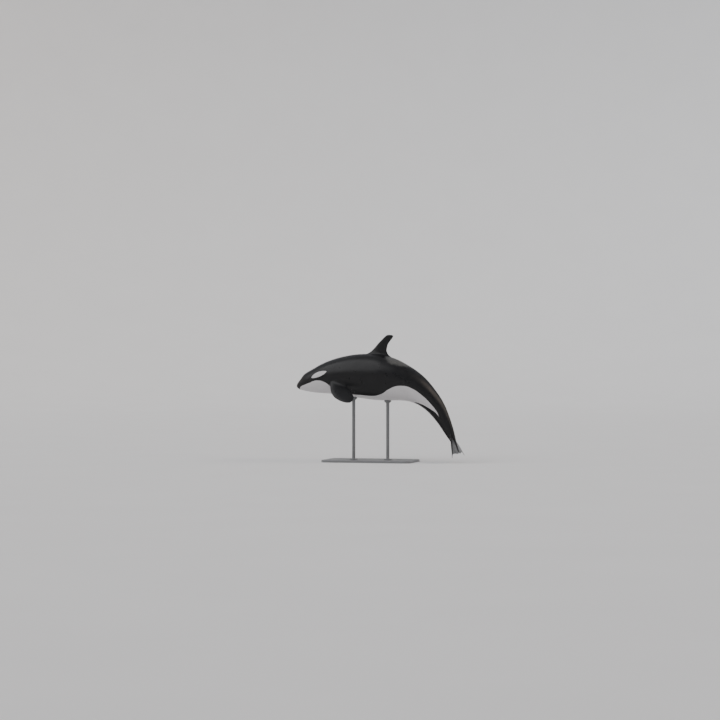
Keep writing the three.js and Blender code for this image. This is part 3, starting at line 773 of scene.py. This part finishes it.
def smooth_edge(rows):
    """Places on the skin, joined in the side view by a smooth curve."""
    share, turn = np.array(rows, float).T
    p = side_view(share, np.radians(turn))
    p = np.concatenate([p[:1], p, p[-1:]])
    t = (np.arange(EDGE_STEPS) / EDGE_STEPS)[:, None]
    pieces = []
    for i in range(1, len(p) - 2):
        v0, v1 = (p[i + 1] - p[i - 1]) / 2, (p[i + 2] - p[i]) / 2
        a = 2 * p[i] - 2 * p[i + 1] + v0 + v1
        b = -3 * p[i] + 3 * p[i + 1] - 2 * v0 - v1
        pieces.append(((a * t + b) * t + v0) * t + p[i])
    return np.concatenate([*pieces, p[-2:-1]])


def depth_inside(outline, at):
    """The distance to a closed outline, positive inside it."""
    nearest = np.full(len(at), np.inf)
    inside = np.zeros(len(at), bool)
    for a, b in zip(outline, np.roll(outline, -1, axis=0)):
        edge = b - a
        length = edge @ edge
        if length == 0:
            continue
        from_a = at - a
        t = np.clip(from_a @ edge / length, 0, 1)
        nearest = np.minimum(nearest, np.sum((from_a - t[:, None] * edge) ** 2, 1))
        crosses = (a[1] > at[:, 1]) != (b[1] > at[:, 1])
        if edge[1] != 0:
            inside ^= crosses & (at[:, 0] < a[0] + (at[:, 1] - a[1]) / edge[1] * edge[0])
    return np.sqrt(nearest) * np.where(inside, 1, -1)


BELOW = np.array([0, -1.2])
ABOVE = np.array([0, 1.2])
FADE_OUT = 1.5  # how fast a marking ends where a fin grows out of it, by the metres along the fin
jaw_edge, *more_edges = [smooth_edge(rows) for rows in (JAW_TOP, THROAT_TOP, BELLY_TOP, BELLY_REAR)]
white_edge = np.concatenate([jaw_edge, *[edge[1:] for edge in more_edges]])
white_outline = np.concatenate([[white_edge[0] + BELOW], white_edge, [white_edge[-1] + BELOW]])
saddle_edge = smooth_edge(SADDLE)
saddle_outline = np.concatenate([saddle_edge, [saddle_edge[-1] + ABOVE], [saddle_edge[0] + ABOVE]])
patch_outline = smooth_edge([*EYE_PATCH, EYE_PATCH[0]])[:-1]

place = np.concatenate(places)
body_at = side_view(place[:, 0], place[:, 1])
fading = FADE_OUT * np.concatenate(travel)
white_depth = np.maximum(depth_inside(white_outline, body_at), depth_inside(patch_outline, body_at))
white_depth = np.maximum(white_depth - fading, np.concatenate(fluke_white))
saddle_depth = depth_inside(saddle_outline, body_at) - fading

# The relief, on the grid's own points and the snout's tip

vertices = all_points()
body_share, body_angle = place[:RINGS * COLUMNS].T
vertices[:len(body_share)] = skin(body_share, body_angle, relief(body_share, body_angle))
forward_of_snout = -np.array([math.cos(spine_slope[0]), 0, math.sin(spine_slope[0])])
vertices[tip] += relief(0.0, math.radians(90)) * forward_of_snout


def make_mesh(name, vertices, faces, **attributes):
    """A smooth mesh object without loose points, with a number at each point for each attribute."""
    sizes = np.array([len(face) for face in faces])
    corners = np.concatenate([np.asarray(face) for face in faces])
    used, corners = np.unique(corners, return_inverse=True)
    mesh = bpy.data.meshes.new(name)
    mesh.vertices.add(len(used))
    mesh.vertices.foreach_set("co", np.asarray(vertices, np.float32)[used].ravel())
    mesh.loops.add(len(corners))
    mesh.loops.foreach_set("vertex_index", corners.astype(np.int32))
    mesh.polygons.add(len(sizes))
    mesh.polygons.foreach_set("loop_start", (np.cumsum(sizes) - sizes).astype(np.int32))
    mesh.polygons.foreach_set("loop_total", sizes.astype(np.int32))
    mesh.update(calc_edges=True)
    mesh.shade_smooth()
    for key, values in attributes.items():
        layer = mesh.attributes.new(key, "FLOAT", "POINT")
        layer.data.foreach_set("value", np.asarray(values, np.float32)[used])
    piece = bpy.data.objects.new(name, mesh)
    SCENE.collection.objects.link(piece)
    return piece


skin_piece = make_mesh("skin", vertices, faces, white=white_depth, saddle=saddle_depth)

# Eyeballs

EYE_GRID = 40
CORNEA = {"bulge": 0.02, "edge": 0.86}
PUPIL_LONG = 1.35  # the pupil's and iris's length, against their height
LID_CLEARANCE = 0.0002


def eyeball(name, hand):
    """A ball of six curved squares, with the distance of each point from the middle of the pupil."""
    middle, _, out, toward, above_it = eye_frame(hand)
    steps = np.tan(np.linspace(-1, 1, EYE_GRID + 1) * math.pi / 4)
    s, t = np.meshgrid(steps, steps, indexing="ij")
    ones = np.ones_like(s)
    sides = []
    for axis in range(3):
        for sign in (-1, 1):
            parts = [s * sign, t]
            parts.insert(axis, ones * sign)
            sides.append(np.stack(parts, -1).reshape(-1, 3))
    way = unit(np.concatenate(sides))
    rounded, index = np.unique(np.round(way, 6), axis=0, return_inverse=True)
    index = index.reshape(6, EYE_GRID + 1, EYE_GRID + 1)
    quads = np.stack([index[:, :-1, :-1], index[:, 1:, :-1], index[:, 1:, 1:], index[:, :-1, 1:]], -1)
    quads = quads.reshape(-1, 4)
    basis = np.stack([toward, above_it, out])
    a, b, c = [rounded[quads[:, k]] for k in range(3)]
    inward = np.sum(np.cross(b - a, c - a) * a, 1) * np.linalg.det(basis) < 0
    quads[inward] = quads[inward][:, ::-1]
    bulge = 1 + CORNEA["bulge"] * smoothstep(CORNEA["edge"], 1, rounded[:, 2])
    radius = bulge * (EYE["radius"] - LID_CLEARANCE)
    at = middle + out * BALL_DEPTH + (rounded * radius[:, None]) @ basis
    across = np.hypot(rounded[:, 0] / PUPIL_LONG, rounded[:, 1]) * EYE["radius"]
    facing = np.where(rounded[:, 2] > 0, across, EYE["radius"])
    return make_mesh(name, at, quads.tolist(), from_pupil=facing)


eye_pieces = {f"eye_{name}": eyeball(f"eyeball_{name}", hand) for name, hand in HANDS.items()}

# The stand

BASE = {"bevel": 0.008, "corner": 0.18, "bevel_steps": 5, "corner_steps": 24}
base_low, base_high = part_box("stand_base")


def rounded_rectangle(half_x, half_y, corner):
    turns = np.linspace(0, math.pi / 2, BASE["corner_steps"] + 1)
    rows = []
    for x, y, start in [(1, 1, 0), (-1, 1, 1), (-1, -1, 2), (1, -1, 3)]:
        angle = turns + start * math.pi / 2
        rows.append(np.stack([x * (half_x - corner) + corner * np.cos(angle),
                              y * (half_y - corner) + corner * np.sin(angle)], -1))
    return np.concatenate(rows)


def loft(name, rows, top=True):
    """A mesh over rows of points, with a flat cap at its bottom and, unless it is left open, its top."""
    count = len(rows[0])
    verts = np.concatenate(rows)
    quads = []
    k = np.arange(count)
    after = (k + 1) % count
    for i in range(len(rows) - 1):
        quads.extend(np.stack([i * count + k, i * count + after, (i + 1) * count + after,
                               (i + 1) * count + k], 1).tolist())
    quads.append(list(range(count))[::-1])
    if top:
        quads.append([(len(rows) - 1) * count + i for i in range(count)])
    return make_mesh(name, verts, quads)


def make_base():
    centre = (base_low + base_high) / 2
    half_x, half_y = (base_high.x - base_low.x) / 2, (base_high.y - base_low.y) / 2
    bevel = BASE["bevel"]
    rows = []
    turns = np.linspace(0, math.pi / 2, BASE["bevel_steps"] + 1)
    profile = [(bevel * (1 - math.sin(t)), bevel * (1 - math.cos(t))) for t in turns]
    height = base_high.z - base_low.z
    for inset, z in [*profile, *[(inset, height - z) for inset, z in profile[::-1]]]:
        x, y = rounded_rectangle(half_x - inset, half_y - inset, BASE["corner"] - inset).T
        rows.append(np.column_stack([x + centre.x, y + centre.y, np.full(len(x), base_low.z + z)]))
    return loft("display_base", rows)


LATHE_SIDES = 96
ROD = {"radius": 0.045, "cup": 0.095, "rim_below_pad": 0.012}
# The foot: radius, and metres above its underside
FOOT = [(0.108, 0), (0.110, 0.002), (0.110, 0.019), (0.107, 0.022), (0.057, 0.022)]
WELD = {"size": 0.012, "from": 0.3, "steps": 5}
# The outside of the cup: radius, and metres below its rim
CUP_OUTSIDE = [
    (0.045, 0.058), (0.049, 0.050), (0.063, 0.034), (0.087, 0.016), (0.094, 0.009), (0.095, 0.004),
]
# The inside of the cup: radius, and metres above the pad's underside
CUP_INSIDE = [(0.095, -0.002), (0.093, 0), (0.08075, 0), (0.057, 0), (0.0285, 0), (0.008, 0)]
# The pad: radius, and metres above its underside; it reaches a little into the belly's skin
PAD = [
    (0.0019, 0.0005), (0.0475, 0.0005), (0.0912, 0.0005), (0.093575, 0.002), (0.093575, 0.0075),
    (0.0912, 0.012), (0.0475, 0.012), (0.0019, 0.012),
]
PAD_THICK = 0.008
SCREW = {"count": 6, "radius": 0.0095, "head": 0.007, "circle": 0.082, "sides": 24}
# A screw's head, up and into its socket: shares of its radius and height, and whether it is six-sided
SCREW_OUTLINE = [
    (1.0, -0.001, False), (1.0, 0.72, False), (0.93, 0.92, False), (0.8, 1.0, False), (0.5, 1.0, True),
    (0.46, 0.94, True), (0.46, 0.35, True),
]
UNDER_THE_BELLY = 0.1  # a height below all of the skin over the stand

skin_tree = BVHTree.FromObject(skin_piece, bpy.context.evaluated_depsgraph_get())


def belly_height(x, y):
    """How high the belly's skin is above a point."""
    hit = skin_tree.ray_cast(Vector((x, y, UNDER_THE_BELLY)), Vector((0, 0, 1)))[0]
    return hit.z if hit else base_high.z


def turns_of(sides):
    return np.linspace(0, 2 * math.pi, sides, endpoint=False)


def lathe_row(radius, height, centre=(0, 0), sides=LATHE_SIDES):
    """Points in a circle. The height may be a function of the place."""
    x = centre[0] + radius * np.cos(turns_of(sides))
    y = centre[1] + radius * np.sin(turns_of(sides))
    z = [height(a, b) for a, b in zip(x, y)] if callable(height) else np.full(sides, float(height))
    return np.column_stack([x, y, z])


def make_rod(node, name):
    """A round post with a screwed foot and a padded cup that fits the belly."""
    low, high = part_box(node)
    centre = ((low.x + high.x) / 2, (low.y + high.y) / 2)
    cup = ROD["cup"]
    lowest = min(belly_height(centre[0] + cup * math.cos(a), centre[1] + cup * math.sin(a))
                 for a in np.linspace(0, 2 * math.pi, 24))
    lowest = min(lowest, belly_height(*centre))
    rim = lowest - PAD_THICK - ROD["rim_below_pad"]

    def over_pad_bottom(outline):
        return [
            lathe_row(radius, lambda x, y: belly_height(x, y) - PAD_THICK + up, centre)
            for radius, up in outline
        ]

    outline = [(radius, low.z + up) for radius, up in FOOT]
    foot_top = outline[-1][1]
    for t in np.linspace(WELD["from"], math.pi / 2, WELD["steps"]):
        outline.append((ROD["radius"] + WELD["size"] * (1 - math.sin(t)),
                        foot_top + WELD["size"] * (1 - math.cos(t))))
    outline.extend((radius, rim - down) for radius, down in CUP_OUTSIDE)
    rows = [lathe_row(radius, height, centre) for radius, height in outline]
    rod = loft(name, rows + over_pad_bottom(CUP_INSIDE))
    pad = loft(name + "_pad", over_pad_bottom(PAD))
    screws = []
    for k in range(SCREW["count"]):
        angle = (k + 0.5) * 2 * math.pi / SCREW["count"]
        at = (centre[0] + SCREW["circle"] * math.cos(angle), centre[1] + SCREW["circle"] * math.sin(angle))
        screws.append(make_screw(f"{name}_screw_{k + 1}", at, foot_top))
    return rod, pad, screws


def make_screw(name, at, z):
    """A low round screw head with a hexagonal socket."""
    hexagon = 1 / np.cos((turns_of(SCREW["sides"]) + math.pi / 6) % (math.pi / 3) - math.pi / 6)
    rows = []
    for radius, height, six_sided in SCREW_OUTLINE:
        reach = SCREW["radius"] * radius * (hexagon if six_sided else 1)
        rows.append(lathe_row(reach, z + SCREW["head"] * height, at, SCREW["sides"]))
    return loft(name, rows)


base_piece = make_base()
front_rod, front_pad, front_screws = make_rod("stand_rod_front", "post_front")
rear_rod, rear_pad, rear_screws = make_rod("stand_rod_rear", "post_rear")


# Materials

class Nodes:
    """A material's node tree, with short ways to add and join nodes."""

    def __init__(self, name):
        self.material = bpy.data.materials.new(name)
        self.material.use_nodes = True
        self.tree = self.material.node_tree
        self.place = self.add("ShaderNodeTexCoord").outputs["Object"]

    def add(self, kind, settings=None, **inputs):
        node = self.tree.nodes.new(kind)
        for key, value in (settings or {}).items():
            setattr(node, key, value)
        for key, value in inputs.items():
            self.set(node, key.replace("_", " "), value)
        return node

    def set(self, node, socket, value):
        target = node.inputs[socket]
        if isinstance(value, bpy.types.NodeSocket):
            self.tree.links.new(value, target)
        else:
            target.default_value = value

    def finish(self, **inputs):
        """Sets the shader's sockets, and gives the finished material."""
        for key, value in inputs.items():
            self.set(self.tree.nodes["Principled BSDF"], key.replace("_", " "), value)
        return self.material

    def math(self, operation, *values):
        node = self.add("ShaderNodeMath", {"operation": operation})
        for index, value in enumerate(values):
            self.set(node, index, value)
        return node.outputs[0]

    def ramp(self, value, low, high, to_low=0.0, to_high=1.0):
        return self.add(
            "ShaderNodeMapRange", {"interpolation_type": "SMOOTHSTEP"}, Value=value, From_Min=low,
            From_Max=high, To_Min=to_low, To_Max=to_high,
        ).outputs[0]

    def noise(self, scale, detail=3.0, rough=0.5):
        return self.add(
            "ShaderNodeTexNoise", Vector=self.place, Scale=scale, Detail=detail, Roughness=rough,
        ).outputs[0]

    def about_zero(self, noise, reach):
        return self.math("MULTIPLY", self.math("SUBTRACT", noise, 0.5), reach)

    def mix(self, share, a, b):
        node = self.add("ShaderNodeMix", {"data_type": "RGBA"})
        for index, value in ((0, share), (6, a), (7, b)):
            self.set(node, index, value)
        return node.outputs[2]

    def bump(self, height, distance, strength, **more):
        return self.add(
            "ShaderNodeBump", Height=height, Distance=distance, Strength=strength, **more,
        ).outputs[0]

    def attribute(self, name):
        return self.add("ShaderNodeAttribute", {"attribute_name": name}).outputs["Fac"]


def colour(red, green, blue):
    return (red, green, blue, 1.0)


# The darker and the lighter colour of each finish
BLACK = colour(0.005, 0.0053, 0.006), colour(0.011, 0.011, 0.012)
SADDLE_GREY = colour(0.05, 0.051, 0.05), colour(0.10, 0.10, 0.096)
PALE = colour(0.50, 0.485, 0.50), colour(0.62, 0.605, 0.61)
STAIN = colour(0.42, 0.39, 0.36)
SCAR = colour(0.03, 0.03, 0.032)
IRIS = colour(0.009, 0.006, 0.004), colour(0.03, 0.018, 0.011)
IRIS_RIM = colour(0.008, 0.007, 0.009)
EYE_WHITE = colour(0.025, 0.014, 0.012), colour(0.06, 0.036, 0.032)
PUPIL = colour(0.002, 0.002, 0.004)
DUST = colour(0.34, 0.34, 0.33)
RUBBER = colour(0.012, 0.012, 0.013), colour(0.03, 0.03, 0.031)
STEEL = colour(0.42, 0.42, 0.43), colour(0.55, 0.55, 0.55)
FLOOR = colour(0.73, 0.735, 0.74), colour(0.77, 0.775, 0.78)
BASE_PAINT = (0.17, 0.175, 0.18)
POST_PAINT = (0.16, 0.165, 0.17)

# Metres from the middle of the pupil over which one part of the eye runs into the next
PUPIL_EDGE = (0.0048, 0.0055)
IRIS_EDGE = (0.0095, 0.0125)
IRIS_END = (0.0125, 0.0145)
RAKE = {"bands": 11, "turn": (0.2, 0.5, 0.1), "patches": 2.1}


def rake_marks(nodes):
    """Faint sets of parallel scratches, such as teeth leave, here and there on the skin."""
    turned = nodes.add("ShaderNodeMapping", Vector=nodes.place, Rotation=RAKE["turn"]).outputs[0]
    bands = nodes.add(
        "ShaderNodeTexWave", Vector=turned, Scale=RAKE["bands"], Distortion=1.2, Detail_Scale=0.4,
    )
    scratches = nodes.ramp(bands.outputs[1], 0.975, 0.998)
    somewhere = nodes.ramp(nodes.noise(RAKE["patches"], 1), 0.63, 0.68)
    broken = nodes.ramp(nodes.noise(13, 2), 0.45, 0.6)
    return nodes.math("MULTIPLY", nodes.math("MULTIPLY", scratches, somewhere), broken)


def skin_material():
    nodes = Nodes("skin")
    wander = nodes.about_zero(nodes.noise(7, 2), 0.016)
    fray = nodes.about_zero(nodes.noise(90, 3), 0.003)
    wobble = nodes.math("ADD", wander, fray)
    white = nodes.ramp(nodes.math("ADD", nodes.attribute("white"), wobble), -0.0012, 0.0012)
    smoke = nodes.about_zero(nodes.noise(5, 6, 0.65), 0.16)
    saddle = nodes.ramp(nodes.math("ADD", nodes.attribute("saddle"), smoke), -0.03, 0.045)

    scar = rake_marks(nodes)
    black = nodes.mix(nodes.noise(2.2, 5, 0.6), *BLACK)
    black = nodes.mix(nodes.math("MULTIPLY", scar, 0.16), black, SCAR)
    dark = nodes.mix(saddle, black, nodes.mix(nodes.noise(14, 5, 0.6), *SADDLE_GREY))
    stain = nodes.math("MULTIPLY", nodes.ramp(nodes.noise(11, 6, 0.7), 0.52, 0.78), 0.2)
    pale = nodes.mix(stain, nodes.mix(nodes.noise(4, 5, 0.6), *PALE), STAIN)

    swell = nodes.bump(nodes.noise(9, 2), 0.004, 0.35)
    grain = nodes.bump(nodes.noise(240, 3, 0.6), 0.0006, 0.35, Normal=swell)
    return nodes.finish(
        Base_Color=nodes.mix(white, dark, pale),
        Roughness=nodes.ramp(nodes.noise(6, 4, 0.6), 0.3, 0.7, 0.26, 0.42),
        IOR=1.31,
        Coat_Weight=0.1,
        Coat_Roughness=0.22,
        Normal=nodes.bump(nodes.math("MULTIPLY", scar, -1), 0.0008, 0.5, Normal=grain),
    )


def eye_material():
    nodes = Nodes("eye")
    fibres = nodes.noise(260, 3, 0.6)
    edge = nodes.math("ADD", nodes.attribute("from_pupil"), nodes.about_zero(fibres, 0.0012))
    iris = nodes.mix(nodes.ramp(edge, *IRIS_EDGE), nodes.mix(fibres, *IRIS), IRIS_RIM)
    ball = nodes.mix(nodes.ramp(edge, *IRIS_END), iris, nodes.mix(nodes.noise(90, 4), *EYE_WHITE))
    return nodes.finish(
        Base_Color=nodes.mix(nodes.ramp(edge, *PUPIL_EDGE), PUPIL, ball),
        Roughness=0.08,
        IOR=1.34,
        Normal=nodes.bump(fibres, 0.0002, 0.3),
    )


def paint_material(name, base, rough, orange_peel):
    """Satin grey paint with the fine ripple that a roller or a spray gun leaves, and a little dust."""
    nodes = Nodes(name)
    shades = [colour(*[change * channel for channel in base]) for change in (0.92, 1.08)]
    tint = nodes.mix(nodes.noise(3, 5, 0.6), *shades)
    dust = nodes.math("MULTIPLY", nodes.ramp(nodes.noise(30, 6, 0.7), 0.5, 0.8), 0.2)
    return nodes.finish(
        Base_Color=nodes.mix(dust, tint, DUST),
        Roughness=nodes.ramp(nodes.noise(18, 4), 0.3, 0.7, rough - 0.05, rough + 0.07),
        Normal=nodes.bump(nodes.noise(orange_peel, 2), 0.0006, 0.35),
    )


def rubber_material():
    nodes = Nodes("pad_rubber")
    return nodes.finish(
        Base_Color=nodes.mix(nodes.noise(60, 4), *RUBBER),
        Roughness=0.75,
        Normal=nodes.bump(nodes.noise(500, 2), 0.0004, 0.5),
    )


def steel_material():
    nodes = Nodes("screw_steel")
    return nodes.finish(
        Base_Color=nodes.mix(nodes.noise(120, 3), *STEEL),
        Metallic=1.0,
        Roughness=nodes.ramp(nodes.noise(200, 3), 0.3, 0.7, 0.28, 0.42),
    )


def floor_material():
    nodes = Nodes("floor")
    return nodes.finish(Base_Color=nodes.mix(nodes.noise(0.4, 4), *FLOOR), Roughness=0.85)


for finish, pieces in [
    (skin_material(), [skin_piece]),
    (eye_material(), eye_pieces.values()),
    (paint_material("base_paint", BASE_PAINT, 0.45, 220), [base_piece]),
    (paint_material("post_paint", POST_PAINT, 0.4, 500), [front_rod, rear_rod]),
    (rubber_material(), [front_pad, rear_pad]),
    (steel_material(), front_screws + rear_screws),
]:
    for piece in pieces:
        piece.data.materials.append(finish)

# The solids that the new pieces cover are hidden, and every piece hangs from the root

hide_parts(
    "head", "lower_jaw", "throat", "eye_patch_left", "eye_patch_right", "chest", "abdomen",
    "belly", "tail_stock", "saddle_patch", "dorsal_fin", "flipper_left", "flipper_right", "flukes",
)
for node, piece in eye_pieces.items():
    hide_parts(node)
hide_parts("stand_base")
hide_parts("stand_rod_front")
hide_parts("stand_rod_rear")
for piece in (
    skin_piece, *eye_pieces.values(), base_piece, front_rod, rear_rod, front_pad, rear_pad,
    *front_screws, *rear_screws,
):
    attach(piece, "root")

# The floor rises far away into a backdrop

FLOOR_ROWS = [(0.5, 0), (3, 0), (10, 0), (30, 0), (57, 0)]
RISE = {"start": 57.0, "radius": 30.0, "steps": 24}


def make_floor():
    rows = list(FLOOR_ROWS)
    for t in np.linspace(0, math.pi / 2, RISE["steps"] + 1)[1:]:
        rows.append((RISE["start"] + RISE["radius"] * math.sin(t), RISE["radius"] * (1 - math.cos(t))))
    return loft("floor", [lathe_row(radius, height) for radius, height in rows], top=False)


floor_piece = make_floor()
floor_piece.data.materials.append(floor_material())

# The camera: level, turned 15 degrees, with a long lens about 55 m away, aimed to the right of the snout

YAW = math.radians(15)
CAMERA = {"lens": 100, "sensor": 36, "far": 54.8, "height": 2.789, "right": 1.752, "sees": 400}
right = Vector((math.cos(YAW), math.sin(YAW), 0))
forward = Vector((-math.sin(YAW), math.cos(YAW), 0))
snout = vertices[np.argmin(vertices @ np.array(right))]
camera_data = bpy.data.cameras.new("camera")
camera_data.lens = CAMERA["lens"]
camera_data.sensor_width = CAMERA["sensor"]
camera_data.sensor_fit = "HORIZONTAL"
camera_data.clip_end = CAMERA["sees"]
camera = bpy.data.objects.new("camera", camera_data)
SCENE.collection.objects.link(camera)
aim_right = float(np.dot(snout, right)) + CAMERA["right"]
camera.location = right * aim_right - forward * CAMERA["far"] + Vector((0, 0, CAMERA["height"]))
camera.rotation_euler = forward.to_track_quat("-Z", "Y").to_euler()
SCENE.camera = camera

# Lights


def soft_sun(name, shines, strength, wide, tint=(1, 1, 1)):
    """A lamp as large as a softbox wall, whose light runs this way."""
    data = bpy.data.lights.new(name, "SUN")
    data.energy = strength
    data.angle = math.radians(wide)
    data.color = tint
    lamp = bpy.data.objects.new(name, data)
    lamp.rotation_euler = Vector(shines).to_track_quat("-Z", "Y").to_euler()
    SCENE.collection.objects.link(lamp)


soft_sun("key", (0.55, 0.55, -0.75), 2.1, 75)
soft_sun("back", (-0.85, -0.05, -0.42), 1.5, 50, (1, 0.85, 0.72))

world = bpy.data.worlds.new("world")
world.use_nodes = True
background = world.node_tree.nodes["Background"].inputs
background["Color"].default_value = (0.93, 0.94, 1, 1)
background["Strength"].default_value = 0.4
SCENE.world = world
